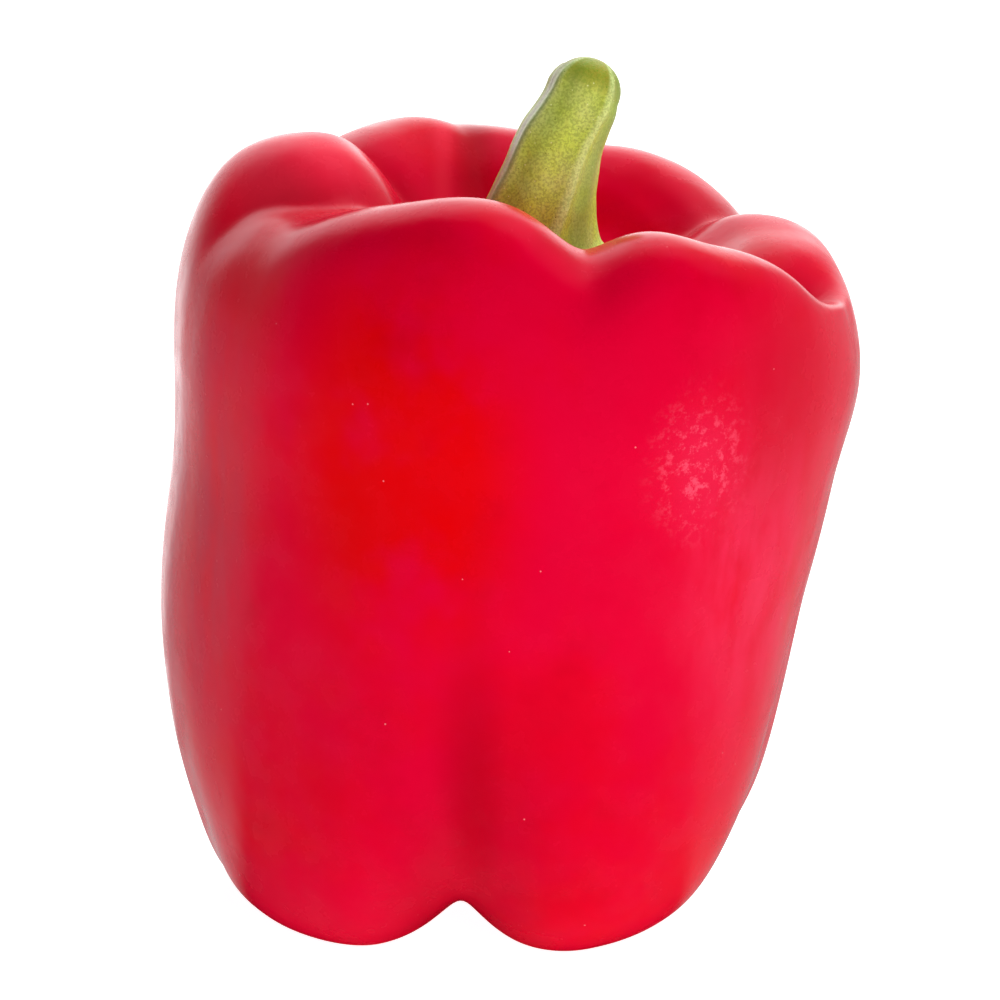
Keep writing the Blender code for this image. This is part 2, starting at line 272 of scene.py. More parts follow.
def skin_relief(point, theta, outward):
    """How far the skin stands out at a point, in mm, through slow waves and faint upright ribs."""
    relief = WAVE_DEPTH * noise.noise(point / WAVE_SIZE)
    around = (RIB_CLOSENESS * math.cos(theta), RIB_CLOSENESS * math.sin(theta))
    relief += RIB_DEPTH * noise.noise(Vector((*around, point.z / RIB_LENGTH)))
    return relief * outward


FRUIT_SEGMENTS = 320
FRUIT_RINGS = 240


def add_piece(bm, name):
    """Turns a finished bmesh into a smooth piece of this name, with its faces pointing out."""
    bmesh.ops.recalc_face_normals(bm, faces=bm.faces)
    mesh = bpy.data.meshes.new(name)
    bm.to_mesh(mesh)
    bm.free()
    mesh.shade_smooth()
    piece = bpy.data.objects.new(name, mesh)
    bpy.context.scene.collection.objects.link(piece)
    return piece


def build_fruit():
    """A ball of skin drawn out to the lobed outline, dented, waved and set down on its feet."""
    bm = bmesh.new()
    bmesh.ops.create_uvsphere(
        bm, u_segments=FRUIT_SEGMENTS, v_segments=FRUIT_RINGS, radius=1.0
    )
    groove_layer = bm.verts.layers.float.new("groove")
    for vert in bm.verts:
        t = round(math.acos(min(max(vert.co.z, -1.0), 1.0)) / math.pi, 5)
        theta = math.atan2(vert.co.y, vert.co.x)
        point, weight = fruit_point(t, theta)
        outward = ramp(t, *RELIEF_START) * ramp(t, *RELIEF_END)
        relief = skin_relief(point, theta, outward)
        point += relief * Vector((math.cos(theta), math.sin(theta), 0.0))
        point.z = max(point.z, 0.0)
        vert.co = point * MM
        vert[groove_layer] = weight
    return add_piece(bm, "pepper_fruit")


def new_material(name):
    """An empty material, its node tree and its Principled shader."""
    material = bpy.data.materials.new(name)
    material.use_nodes = True
    tree = material.node_tree
    return material, tree, tree.nodes["Principled BSDF"]


def add_node(tree, kind, **settings):
    """A node of this kind, whose settings are its own properties or the values of its sockets."""
    node = tree.nodes.new(kind)
    for key, value in settings.items():
        if hasattr(node, key):
            setattr(node, key, value)
        else:
            node.inputs[key.replace("_", " ")].default_value = value
    return node


def add_noise(tree, vector, scale, detail, roughness):
    node = add_node(tree, "ShaderNodeTexNoise", Scale=scale, Detail=detail, Roughness=roughness)
    tree.links.new(vector, node.inputs["Vector"])
    return node.outputs["Fac"]


def add_range(tree, value, low, high, to_low=0.0, to_high=1.0):
    """Leads a value that runs from low to high over to one that runs softly between the others."""
    node = add_node(
        tree, "ShaderNodeMapRange", interpolation_type="SMOOTHSTEP",
        From_Min=low, From_Max=high, To_Min=to_low, To_Max=to_high,
    )
    tree.links.new(value, node.inputs["Value"])
    return node.outputs["Result"]


def add_mix(tree, share, first, second):
    """Mixes two colours, each a socket or a plain (r, g, b)."""
    node = add_node(tree, "ShaderNodeMix", data_type="RGBA")
    tree.links.new(share, node.inputs["Factor"])
    for name, colour in (("A", first), ("B", second)):
        socket = next(s for s in node.inputs if s.name == name and s.type == "RGBA")
        if isinstance(colour, tuple):
            socket.default_value = (*colour, 1.0)
        else:
            tree.links.new(colour, socket)
    return next(s for s in node.outputs if s.type == "RGBA")


def add_attribute(tree, name):
    return add_node(tree, "ShaderNodeAttribute", attribute_name=name).outputs["Fac"]


def add_bump(tree, height, distance, strength, normal=None):
    """A normal bumped by a height pattern, laid over another normal where one is given."""
    node = add_node(tree, "ShaderNodeBump", Strength=strength, Distance=distance)
    tree.links.new(height, node.inputs["Height"])
    if normal is not None:
        tree.links.new(normal, node.inputs["Normal"])
    return node.outputs["Normal"]


def add_math(tree, operation, first, second):
    """Joins two values, of which the second may be a plain number."""
    node = add_node(tree, "ShaderNodeMath", operation=operation)
    tree.links.new(first, node.inputs[0])
    if isinstance(second, float):
        node.inputs[1].default_value = second
    else:
        tree.links.new(second, node.inputs[1])
    return node.outputs["Value"]


def build_fleck_group():
    """Shared effect: sparse round flecks, such as the pores of a skin. Puts out a mask."""
    group = bpy.data.node_groups.new("flecks", "ShaderNodeTree")
    group.interface.new_socket("Vector", in_out="INPUT", socket_type="NodeSocketVector")
    for name in ("Scale", "Size", "Share"):
        group.interface.new_socket(name, in_out="INPUT", socket_type="NodeSocketFloat")
    group.interface.new_socket("Mask", in_out="OUTPUT", socket_type="NodeSocketFloat")
    start = group.nodes.new("NodeGroupInput")
    end = group.nodes.new("NodeGroupOutput")
    cells = add_node(group, "ShaderNodeTexVoronoi")
    group.links.new(start.outputs["Vector"], cells.inputs["Vector"])
    group.links.new(start.outputs["Scale"], cells.inputs["Scale"])
    near = add_math(group, "LESS_THAN", cells.outputs["Distance"], start.outputs["Size"])
    split = group.nodes.new("ShaderNodeSeparateColor")
    group.links.new(cells.outputs["Color"], split.inputs["Color"])
    chosen = add_math(group, "LESS_THAN", split.outputs["Red"], start.outputs["Share"])
    group.links.new(add_math(group, "MULTIPLY", near, chosen), end.inputs["Mask"])
    return group


FLECKS = build_fleck_group()


def add_flecks(tree, vector, scale, size, share):
    """Flecks of this closeness and size, on this share of the places that could hold one."""
    node = tree.nodes.new("ShaderNodeGroup")
    node.node_tree = FLECKS
    node.inputs["Scale"].default_value = scale
    node.inputs["Size"].default_value = size
    node.inputs["Share"].default_value = share
    tree.links.new(vector, node.inputs["Vector"])
    return node.outputs["Mask"]


def add_patch(tree, place, centre, reach, softness):
    """A soft-edged patch: 1 at its centre, 0 beyond its reach along each axis, both in mm, with
    this share of the reach given to the soft edge."""
    scale = [1.0 / (side * MM) for side in reach]
    shift = [-middle / side for middle, side in zip(centre, reach)]
    mapped = add_node(tree, "ShaderNodeMapping", Location=shift, Scale=scale)
    tree.links.new(place, mapped.inputs["Vector"])
    length = add_node(tree, "ShaderNodeVectorMath", operation="LENGTH")
    tree.links.new(mapped.outputs["Vector"], length.inputs[0])
    return add_range(tree, length.outputs["Value"], 1.0 - softness, 1.0, 1.0, 0.0)


SCARLET = (0.67, 0.0, 0.0)
CRIMSON = (0.66, 0.0, 0.026)
DEEP_RED = (0.48, 0.0, 0.010)
# Painted shade, for the grooves and a fold in the crown.
SHADE_RED = (0.36, 0.0, 0.006)
# Painted reflections of the studio: a dull pink one on the left side, a pale one on the right and
# over the net.
DULL_SHEEN_RED = (0.54, 0.020, 0.050)
SHEEN_RED = (0.72, 0.014, 0.060)
# Painted highlights: on the left back lobe's top and beside a fold in the crown.
HIGHLIGHT_RED = (0.90, 0.030, 0.070)
# A painted pink highlight over a pale net on the right front.
NET_HIGHLIGHT_PINK = (0.86, 0.10, 0.17)
PORE_PINK = (0.80, 0.16, 0.18)
# The skin's patterns: scale, detail and roughness of each noise.
BLOTCHES = (42.0, 4.0, 0.55)
RAGGED_EDGE = (60.0, 3.0, 0.6)
SHADING = (75.0, 3.0, 0.6)
STREAKS = (170.0, 4.0, 0.6)
HIGHLIGHT_NET = (700.0, 5.0, 0.75)
SHINE = (140.0, 4.0, 0.6)
FINE_GRAIN = (1500.0, 2.0, 0.5)
SOFT_DENTS = (260.0, 3.0, 0.5)
# How far the streaks are drawn out upwards, and the pores' scale, size and share.
STREAK_STRETCH = (1.0, 1.0, 0.28)
PORES = (520.0, 0.06, 0.05)
# Height in metres and strength of the bumps that stand on the mesh's own relief.
FINE_GRAIN_BUMP = (0.00002, 0.5)
SOFT_DENTS_BUMP = (0.00012, 0.6)
# The waxy shine: how strongly it bends light, how strong it is, and its red tint.
WAX_IOR = 1.45
WAX_LEVEL = 0.30
WAX_TINT = (1.0, 0.06, 0.25, 1.0)
# How strongly the blotches, the dull painted sheen on the left side, the painted shade in the
# valley and the painted highlight of the net are laid on.
SCARLET_STRENGTH = 0.45
LEFT_SHEEN_STRENGTH = 0.8
VALLEY_SHADE_STRENGTH = 0.9
NET_HIGHLIGHT_STRENGTH = 0.6
# Where the skin's larger patches lie: centre and reach along x, y and z, in mm, and softness.
SCARLET_PATCH = ((-13.0, -44.0, 68.0), (20.0, 40.0, 36.0), 0.6)
# A painted pale sheen on the right side.
RIGHT_SHEEN_PATCH = ((32.0, -30.0, 54.0), (16.0, 34.0, 36.0), 0.9)
# A painted highlight over a pale net.
NET_HIGHLIGHT_PATCH = ((23.5, -38.0, 68.0), (8.5, 26.0, 13.0), 0.9)
# Painted shade in the low valley between the front lobes.
VALLEY_SHADE_PATCH = ((-4.2, -44.0, 19.0), (8.0, 30.0, 36.0), 0.98)
# A painted dull pink sheen on the left side.
LEFT_SHEEN_PATCH = ((-41.0, -16.0, 62.0), (14.0, 30.0, 52.0), 0.8)
# Painted shade on the right side.
SHADED_PATCH = ((34.0, -28.0, 74.0), (12.0, 26.0, 24.0), 0.9)
# Painted light on the left back lobe's top.
LOBE_TOP_LIGHT_PATCH = ((-27.0, 0.0, 99.0), (16.0, 24.0, 15.0), 0.9)
# Inside the crown, on its back wall: the painted shade of a fold, with a painted highlight beside
# it.
FOLD_SHADE_PATCH = ((-4.6, 26.0, 92.0), (4.2, 24.0, 24.0), 0.9)
FOLD_HIGHLIGHT_PATCH = ((-8.6, 26.0, 92.0), (2.2, 24.0, 24.0), 0.9)
# Patches of painted light and shade, laid over one another: where, strength and colour. Painted
# shade on the right side, painted light on the left back lobe's top, the painted shade of a fold in
# the crown with a painted highlight beside it, and a painted sheen over the net.
PAINTED_LIGHT_PATCHES = [
    (SHADED_PATCH, 0.60, DEEP_RED),
    (LOBE_TOP_LIGHT_PATCH, 0.85, HIGHLIGHT_RED),
    (FOLD_SHADE_PATCH, 0.80, SHADE_RED),
    (FOLD_HIGHLIGHT_PATCH, 0.55, HIGHLIGHT_RED),
    (NET_HIGHLIGHT_PATCH, 0.45, SHEEN_RED),
]


def skin_material():
    """Taut waxy skin: scarlet and crimson blotches, pale pores, fine grain and uneven shine."""
    material, tree, shader = new_material("pepper_skin")
    place = add_node(tree, "ShaderNodeTexCoord").outputs["Object"]

    # Crimson, with scarlet blotches that join up on the front left lobe, and darker clouds.
    blotches = add_range(tree, add_noise(tree, place, *BLOTCHES), 0.44, 0.66)
    scarlet = add_math(tree, "MULTIPLY", blotches, SCARLET_STRENGTH)
    ragged = add_range(tree, add_noise(tree, place, *RAGGED_EDGE), 0.30, 0.58)
    patch = add_math(tree, "MULTIPLY", add_patch(tree, place, *SCARLET_PATCH), ragged)
    colour = add_mix(tree, add_math(tree, "MAXIMUM", scarlet, patch), CRIMSON, SCARLET)
    shade = add_range(tree, add_noise(tree, place, *SHADING), 0.50, 0.80, 0.0, 0.40)
    colour = add_mix(tree, shade, colour, DEEP_RED)

    # Painted reflections in streaks down the sides: a pale sheen on the right, a dull pink sheen on
    # the left.
    drawn_out = add_node(tree, "ShaderNodeMapping", Scale=STREAK_STRETCH)
    tree.links.new(place, drawn_out.inputs["Vector"])
    streaks = add_noise(tree, drawn_out.outputs["Vector"], *STREAKS)
    sheen_streaks = add_range(tree, streaks, 0.36, 0.64, 0.10, 1.0)
    right_sheen = add_math(tree, "MULTIPLY", add_patch(tree, place, *RIGHT_SHEEN_PATCH), sheen_streaks)
    colour = add_mix(tree, right_sheen, colour, SHEEN_RED)
    left_sheen = add_math(tree, "MULTIPLY", add_patch(tree, place, *LEFT_SHEEN_PATCH), sheen_streaks)
    colour = add_mix(tree, add_math(tree, "MULTIPLY", left_sheen, LEFT_SHEEN_STRENGTH), colour, DULL_SHEEN_RED)

    # Painted shade in the grooves, darkest in the valley between the front lobes.
    groove = add_range(tree, add_attribute(tree, "groove"), 0.05, 0.60, 0.0, 0.40)
    valley_shade = add_patch(tree, place, *VALLEY_SHADE_PATCH)
    valley_shade = add_math(tree, "MULTIPLY", valley_shade, VALLEY_SHADE_STRENGTH)
    colour = add_mix(tree, add_math(tree, "MAXIMUM", groove, valley_shade), colour, SHADE_RED)
    # Lays on the patches of painted light and shade.
    for where, strength, painted_tone in PAINTED_LIGHT_PATCHES:
        here = add_math(tree, "MULTIPLY", add_patch(tree, place, *where), strength)
        colour = add_mix(tree, here, colour, painted_tone)

    # The painted highlight of a pale net, and the pores.
    net_highlight = add_range(tree, add_noise(tree, place, *HIGHLIGHT_NET), 0.50, 0.64)
    net_highlight = add_math(tree, "MULTIPLY", net_highlight, add_patch(tree, place, *NET_HIGHLIGHT_PATCH))
    colour = add_mix(tree, add_math(tree, "MULTIPLY", net_highlight, NET_HIGHLIGHT_STRENGTH), colour, NET_HIGHLIGHT_PINK)
    colour = add_mix(tree, add_flecks(tree, place, *PORES), colour, PORE_PINK)
    tree.links.new(colour, shader.inputs["Base Color"])

    shine = add_range(tree, add_noise(tree, place, *SHINE), 0.35, 0.70, 0.19, 0.32)
    tree.links.new(shine, shader.inputs["Roughness"])
    grain = add_bump(tree, add_noise(tree, place, *FINE_GRAIN), *FINE_GRAIN_BUMP)
    dents = add_bump(tree, add_noise(tree, place, *SOFT_DENTS), *SOFT_DENTS_BUMP, grain)
    tree.links.new(dents, shader.inputs["Normal"])
    shader.inputs["IOR"].default_value = WAX_IOR
    shader.inputs["Specular IOR Level"].default_value = WAX_LEVEL
    shader.inputs["Specular Tint"].default_value = WAX_TINT
    return material


fruit = build_fruit()
fruit.data.materials.append(skin_material())
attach(fruit, "root")
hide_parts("fruit")

# ---------------------------------------------------------------------------------------------
# The calyx: the green cap of joined sepals that holds the fruit to its stem. It is leafy, a little
# over a millimetre thick, ribbed from the stem to each short tooth, and grown on to the crown.

# In mm: the gap to the skin, the thickness in the middle and at the rim, the height of the ribs
# and of the small ribs between them, and how far the rim is rounded off.
CALYX_GAP = 0.15
CALYX_THICKNESS = 1.5
CALYX_EDGE = 0.45
CALYX_RIB_HEIGHT = 0.35
CALYX_SMALL_RIB_HEIGHT = 0.10
CALYX_RIM_ROUNDING = 0.25
# How far the rim and a tooth reach, as shares of the recess's outline.
CALYX_INNER_SHARE = 0.285
CALYX_TOOTH_SHARE = 0.045
CALYX_TEETH = 6
# Where the teeth and the small ribs begin round the stem, in radians of their own waves.
CALYX_TOOTH_TURN = 0.4
CALYX_SMALL_RIB_TURN = 1.0
CALYX_SEGMENTS = 240
CALYX_STEPS = 26
# Ramps from the middle (0) to the rim (1), as for the fruit: thinning, fading ribs, rounding, and
# the drying rim.
CALYX_THINNING = (0.35, 0.65)
CALYX_RIB_FADE = (1.0, -0.4)
CALYX_SMALL_RIB_FADE = (1.0, -0.5)
CALYX_ROUNDING = (0.93, 0.07)
CALYX_DRYING = (0.78, 0.22)


def crown_t(share):
    """The t at which the lobe outline reaches this share, inside the crown's recess."""
    low = 0.0
    high = CROWN_SIDE_END
    for _ in range(30):
        middle = (low + high) / 2
        if curve_point(LOBE_PROFILE, middle)[0] < share:
            low = middle
        else:
            high = middle
    return round((low + high) / 2, 5)


@functools.lru_cache(maxsize=None)
def crown_frame(share, theta):
    """A point of the recess and the direction square to its skin."""
    t = crown_t(share)
    step_t = 0.004
    step_theta = 0.02
    here = fruit_point(t, theta)[0]
    along = fruit_point(t + step_t, theta)[0] - fruit_point(max(t - step_t, 0.0), theta)[0]
    around = fruit_point(t, theta + step_theta)[0] - fruit_point(t, theta - step_theta)[0]
    if around.length < 1e-3:
        return here, Vector((0.0, 0.0, 1.0))
    normal = along.cross(around).normalized()
    return here, (normal if normal.z > 0 else -normal)


def tooth_at(theta):
    """1 along the middle of a tooth, 0 between two teeth."""
    return abs(math.cos(CALYX_TEETH * theta / 2 + CALYX_TOOTH_TURN))


def spin_outline(outline, steps):
    """A full turn of an outline about the upright axis, closed where it meets itself."""
    bm = bmesh.new()
    verts = [bm.verts.new(point) for point in outline]
    edges = [bm.edges.new(pair) for pair in zip(verts, verts[1:])]
    bmesh.ops.spin(
        bm, geom=verts + edges, cent=(0, 0, 0), axis=(0, 0, 1), angle=2 * math.pi,
        steps=steps, use_merge=True,
    )
    bmesh.ops.remove_doubles(bm, verts=bm.verts, dist=1e-5)
    return bm


def build_calyx():
    """A flat turned disc, laid along the recess, with ribs raised on its upper side."""
    outline = []
    for k in range(CALYX_STEPS + 1):
        outline.append(Vector((k / CALYX_STEPS, 0.0, 1.0)))
    for k in range(CALYX_STEPS + 1):
        outline.append(Vector((1.0 - k / CALYX_STEPS, 0.0, -1.0)))
    bm = spin_outline(outline, CALYX_SEGMENTS)
    rib_layer = bm.verts.layers.float.new("rib")
    edge_layer = bm.verts.layers.float.new("edge")
    for vert in bm.verts:
        out = math.hypot(vert.co.x, vert.co.y)
        theta = round(math.atan2(vert.co.y, vert.co.x), 6) if out > 1e-4 else 0.0
        share = round((CALYX_INNER_SHARE + CALYX_TOOTH_SHARE * tooth_at(theta) ** 3) * out, 6)
        here, normal = crown_frame(share, theta)
        level = CALYX_GAP
        rib = tooth_at(theta) ** 12 * ramp(out, *CALYX_RIB_FADE)
        small_rib = 0.5 + 0.5 * math.cos(5 * CALYX_TEETH * theta + CALYX_SMALL_RIB_TURN)
        if vert.co.z > 0:
            level += mix(CALYX_THICKNESS, CALYX_EDGE, ramp(out, *CALYX_THINNING))
            small_height = CALYX_SMALL_RIB_HEIGHT * small_rib * ramp(out, *CALYX_SMALL_RIB_FADE)
            level += CALYX_RIB_HEIGHT * rib + small_height
            level -= CALYX_RIM_ROUNDING * ramp(out, *CALYX_ROUNDING)
        vert.co = (here + normal * level) * MM
        vert[rib_layer] = rib
        vert[edge_layer] = ramp(out, *CALYX_DRYING)
    return add_piece(bm, "pepper_calyx")


LEAF_GREEN = (0.155, 0.215, 0.030)
LEAF_DARK = (0.075, 0.110, 0.016)
LEAF_PALE = (0.420, 0.440, 0.120)
DRY_EDGE = (0.300, 0.230, 0.090)
# The leaf's patterns, flecks and bumps, as for the fruit.
LEAF_MOTTLE = (520.0, 4.0, 0.6)
LEAF_FLECKS = (1500.0, 0.2, 0.2)
LEAF_GRAIN = (1600.0, 3.0, 0.6)
LEAF_GRAIN_BUMP = (0.00008, 0.8)
LEAF_ROUGHNESS = 0.52


def calyx_material():
    """Leafy sepals: mid green with dark mottling, paler ribs and a drying rim."""
    material, tree, shader = new_material("calyx_leaf")
    place = add_node(tree, "ShaderNodeTexCoord").outputs["Object"]
    mottle = add_range(tree, add_noise(tree, place, *LEAF_MOTTLE), 0.38, 0.66)
    colour = add_mix(tree, mottle, LEAF_DARK, LEAF_GREEN)
    colour = add_mix(tree, add_attribute(tree, "rib"), colour, LEAF_PALE)
    drying = add_range(tree, add_attribute(tree, "edge"), 0.2, 1.0, 0.0, 0.7)
    colour = add_mix(tree, drying, colour, DRY_EDGE)
    colour = add_mix(tree, add_flecks(tree, place, *LEAF_FLECKS), colour, LEAF_PALE)
    tree.links.new(colour, shader.inputs["Base Color"])
    shader.inputs["Roughness"].default_value = LEAF_ROUGHNESS
    grain = add_bump(tree, add_noise(tree, place, *LEAF_GRAIN), *LEAF_GRAIN_BUMP)
    tree.links.new(grain, shader.inputs["Normal"])
    return material


calyx = build_calyx()
calyx.data.materials.append(calyx_material())
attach(calyx, "root")
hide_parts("calyx")

# ---------------------------------------------------------------------------------------------
# The stem: the stalk that the fruit hung from, woody and green, with five blunt ridges that turn
# as they climb. It flares into the calyx, leans with the fruit and was cut off with a knife.

# From the flare to the rounded end: centre x, centre y, height and radius in mm, in the fruit's own
# axes. The end itself is a dome on the last ring.
STEM_RINGS = [
    (8.0, 0.0, 85.2, 10.6), (8.0, 0.0, 86.2, 9.7), (8.1, 0.0, 87.4, 8.9),
    (8.3, 0.0, 88.8, 8.2), (8.8, 0.0, 90.8, 7.5), (9.3, 0.0, 92.4, 7.0),
    (9.85, 0.0, 94.2, 6.6), (10.5, 0.0, 96.3, 6.15), (11.3, 0.0, 99.0, 5.8),
    (12.2, 0.1, 101.5, 5.45), (13.5, 0.3, 103.9, 5.1), (14.5, 0.5, 105.8, 4.9),
    (15.0, 0.6, 107.4, 4.70),
]
STEM_DOME_HEIGHT = 4.5
# Each ridge: angle in degrees at the flare and at the cut, height as a share of the radius, and
# half-width in degrees.
STEM_RIDGES = [
    (203.0, 216.0, 0.075, 12.0),
    (276.0, 303.0, 0.15, 12.0),
    (5.0, 32.0, 0.10, 15.0),
    (68.0, 92.0, 0.11, 16.0),
    (136.0, 158.0, 0.10, 15.0),
]
# How far the stalk sinks between its ridges, how much the ridges grow on the flare and shrink over
# the dome, as shares, and the wood's unevenness with how closely it repeats, in mm.
STEM_HOLLOW = 0.035
STEM_FLARE_RIDGES = 0.7
STEM_DOME_RIDGES = 0.6
STEM_UNEVENNESS = 0.10
STEM_UNEVEN_TURN = 3.0
STEM_UNEVEN_LENGTH = 4.0
# Where the flare is grown on to the calyx: share of the recess, that of a ridge besides, and mm
# above the fruit's skin.
STEM_SEAT_SHARE = 0.225
STEM_SEAT_RIDGE_SHARE = 0.025
STEM_SEAT_LEVEL = 0.55
# The lean with how quickly it comes in, the slope of the end towards the back, and how far the cut
# face behind lies under the dome, in mm.
STEM_LEAN_DEG = 23.0
STEM_LEAN_RATE = 1.25
STEM_CUT_BACK_DEG = 14.0
STEM_CUT_DEPTH = 0.9
STEM_SEGMENTS = 180
STEM_LEVELS = 120
STEM_DOME_LEVELS = 24
# Ramps up the climb, then up the dome, then from front to back as a share of the radius.
STEM_FLARE = (0.3, -0.3)
STEM_SEAT_END = (0.0, 0.12)
STEM_RIDGE_START = (0.0, 0.1)
STEM_SLOPE_START = (0.6, 0.4)
STEM_CUT_LEVEL = (0.55, 0.15)
STEM_CUT_SIDE = (-0.05, 0.25)
# Bands of painted light and shade up the stalk: a painted grey sheen, painted shade in a crease,
# and painted shade on a left and a right face. Each: angle in degrees at the flare and at the end,
# and half-width.
STEM_SHEEN_BAND = (180.0, 192.0, 20.0)
STEM_CREASE_SHADE = (204.0, 215.0, 4.5)
STEM_LEFT_SHADE_BAND = (226.0, 238.0, 20.0)
STEM_RIGHT_SHADE_BAND = (311.0, 338.0, 26.0)
STEM_LEFT_SHADE = 0.45
STEM_RIGHT_SHADE = 0.80


def stem_axis(climb):
    """The stalk's centre and radius in mm at a climb from 0 at the flare to 1 at the end."""
    last = len(STEM_RINGS) - 1
    i = min(int(climb * last), last - 1)
    rows = [STEM_RINGS[min(max(i + k, 0), last)] for k in (-1, 0, 1, 2)]
    x, y, z, radius = curve_between(rows, climb * last - i)
    return Vector((x, y, z)), radius


def band_at(theta, climb, low_angle, high_angle, width):
    """1 along a band that climbs from one angle to another, falling softly to 0 beside it."""
    turn = turn_from(mix(low_angle, high_angle, climb), theta)
    return math.exp(-((turn / width) ** 2))


def stem_ridge(theta, climb):
    """How strongly a ridge stands out, from 0 to 1, and its height as a share of the radius."""
    strongest = 0.0
    height = -STEM_HOLLOW
    for low_angle, high_angle, share, width in STEM_RIDGES:
        strength = band_at(theta, climb, low_angle, high_angle, width)
        strongest = max(strongest, strength)
        height += (share + STEM_HOLLOW) * strength
    return strongest, height


def build_stem():
    """A turned upright post with a domed end, bent to the stalk's line and ridged."""
    outline = [Vector((0.0, 0.0, 0.0)), Vector((0.6, 0.0, 0.0))]
    outline += [Vector((1.0, 0.0, k / STEM_LEVELS)) for k in range(STEM_LEVELS + 1)]
    for k in range(1, STEM_DOME_LEVELS + 1):
        turn = math.pi / 2 * k / STEM_DOME_LEVELS
        outline.append(Vector((max(math.cos(turn), 0.0), 0.0, 1.0 + math.sin(turn))))
    bm = spin_outline(outline, STEM_SEGMENTS)
    ridge_layer = bm.verts.layers.float.new("ridge")
    cut_layer = bm.verts.layers.float.new("cut")
    climb_layer = bm.verts.layers.float.new("climb")
    sheen_layer = bm.verts.layers.float.new("sheen_side")
    shade_layer = bm.verts.layers.float.new("shade_side")
    for vert in bm.verts:
        out = min(math.hypot(vert.co.x, vert.co.y), 1.0)
        theta = math.atan2(vert.co.y, vert.co.x)
        climb = min(vert.co.z, 1.0)
        past = max(vert.co.z - 1.0, 0.0)
        centre, radius = stem_axis(climb)
        ridge, swell_share = stem_ridge(theta, climb)
        swell_share *= 1.0 + STEM_FLARE_RIDGES * ramp(climb, *STEM_FLARE)
        radius *= 1.0 + swell_share * (1.0 - STEM_DOME_RIDGES * past)
        around = (STEM_UNEVEN_TURN * math.cos(theta), STEM_UNEVEN_TURN * math.sin(theta))
        uneven_at = Vector((*around, centre.z / STEM_UNEVEN_LENGTH))
        radius += STEM_UNEVENNESS * noise.noise(uneven_at)
        lean = math.radians(STEM_LEAN_DEG) * smooth(STEM_LEAN_RATE * climb)
        flat = Vector((radius * out * math.cos(theta), radius * out * math.sin(theta), 0.0))
        flat.z = STEM_DOME_HEIGHT * past
        back = math.tan(math.radians(STEM_CUT_BACK_DEG)) * ramp(climb, *STEM_SLOPE_START)
        flat.z -= back * flat.y
        behind = ramp(flat.y / radius, *STEM_CUT_SIDE) * ramp(past, *STEM_CUT_LEVEL)
        flat.z -= STEM_CUT_DEPTH * behind
        point = centre + Matrix.Rotation(lean, 3, "Y") @ flat + TO_FRAME
        seat_share = (STEM_SEAT_SHARE + STEM_SEAT_RIDGE_SHARE * ridge) * out
        seat_theta = round(theta, 6) if out > 1e-4 else 0.0
        seat, square = crown_frame(round(seat_share, 6), seat_theta)
        on_calyx = seat + STEM_SEAT_LEVEL * square
        vert.co = on_calyx.lerp(point, ramp(climb, *STEM_SEAT_END)) * MM
        vert[ridge_layer] = ridge * ramp(climb, *STEM_RIDGE_START)
        vert[cut_layer] = behind
        vert[climb_layer] = (climb + past) / 2
        # A painted grey sheen down one side.
        vert[sheen_layer] = band_at(theta, climb, *STEM_SHEEN_BAND) * (1.0 - past)
        # Painted shade in a crease and on two faces.
        crease_shade = band_at(theta, climb, *STEM_CREASE_SHADE) * (1.0 - past)
        left_shade = STEM_LEFT_SHADE * band_at(theta, climb, *STEM_LEFT_SHADE_BAND)
        right_shade = STEM_RIGHT_SHADE * band_at(theta, climb, *STEM_RIGHT_SHADE_BAND)
        vert[shade_layer] = max(crease_shade, left_shade, right_shade)
    return add_piece(bm, "pepper_stem")


STALK_GREEN = (0.740, 0.990, 0.120)
STALK_DARK = (0.180, 0.330, 0.025)
STALK_PALE = (0.800, 0.960, 0.420)
STALK_TIP = (0.300, 0.250, 0.014)
# A painted grey sheen down one side of the stalk.
STALK_SHEEN_GREY = (0.560, 0.560, 0.380)
PITH = (0.560, 0.500, 0.260)
# The stalk's patterns, dots and bumps, as for the fruit.
STALK_CLOUDS = (190.0, 2.0, 0.5)
STALK_SPECKLE = (3000.0, 3.0, 0.65)
STALK_DARK_DOTS = (1700.0, 0.14, 0.20)
STALK_PALE_DOTS = (1500.0, 0.14, 0.20)
STALK_FIBRES = (1400.0, 3.0, 0.6)
FIBRE_STRETCH = (1.0, 1.0, 0.18)
STALK_GRAIN = (2400.0, 2.0, 0.6)
STALK_FIBRE_BUMP = (0.00014, 0.7)
STALK_GRAIN_BUMP = (0.00008, 0.8)
STALK_ROUGHNESS = 0.42
STALK_SHADE_STRENGTH = 0.75


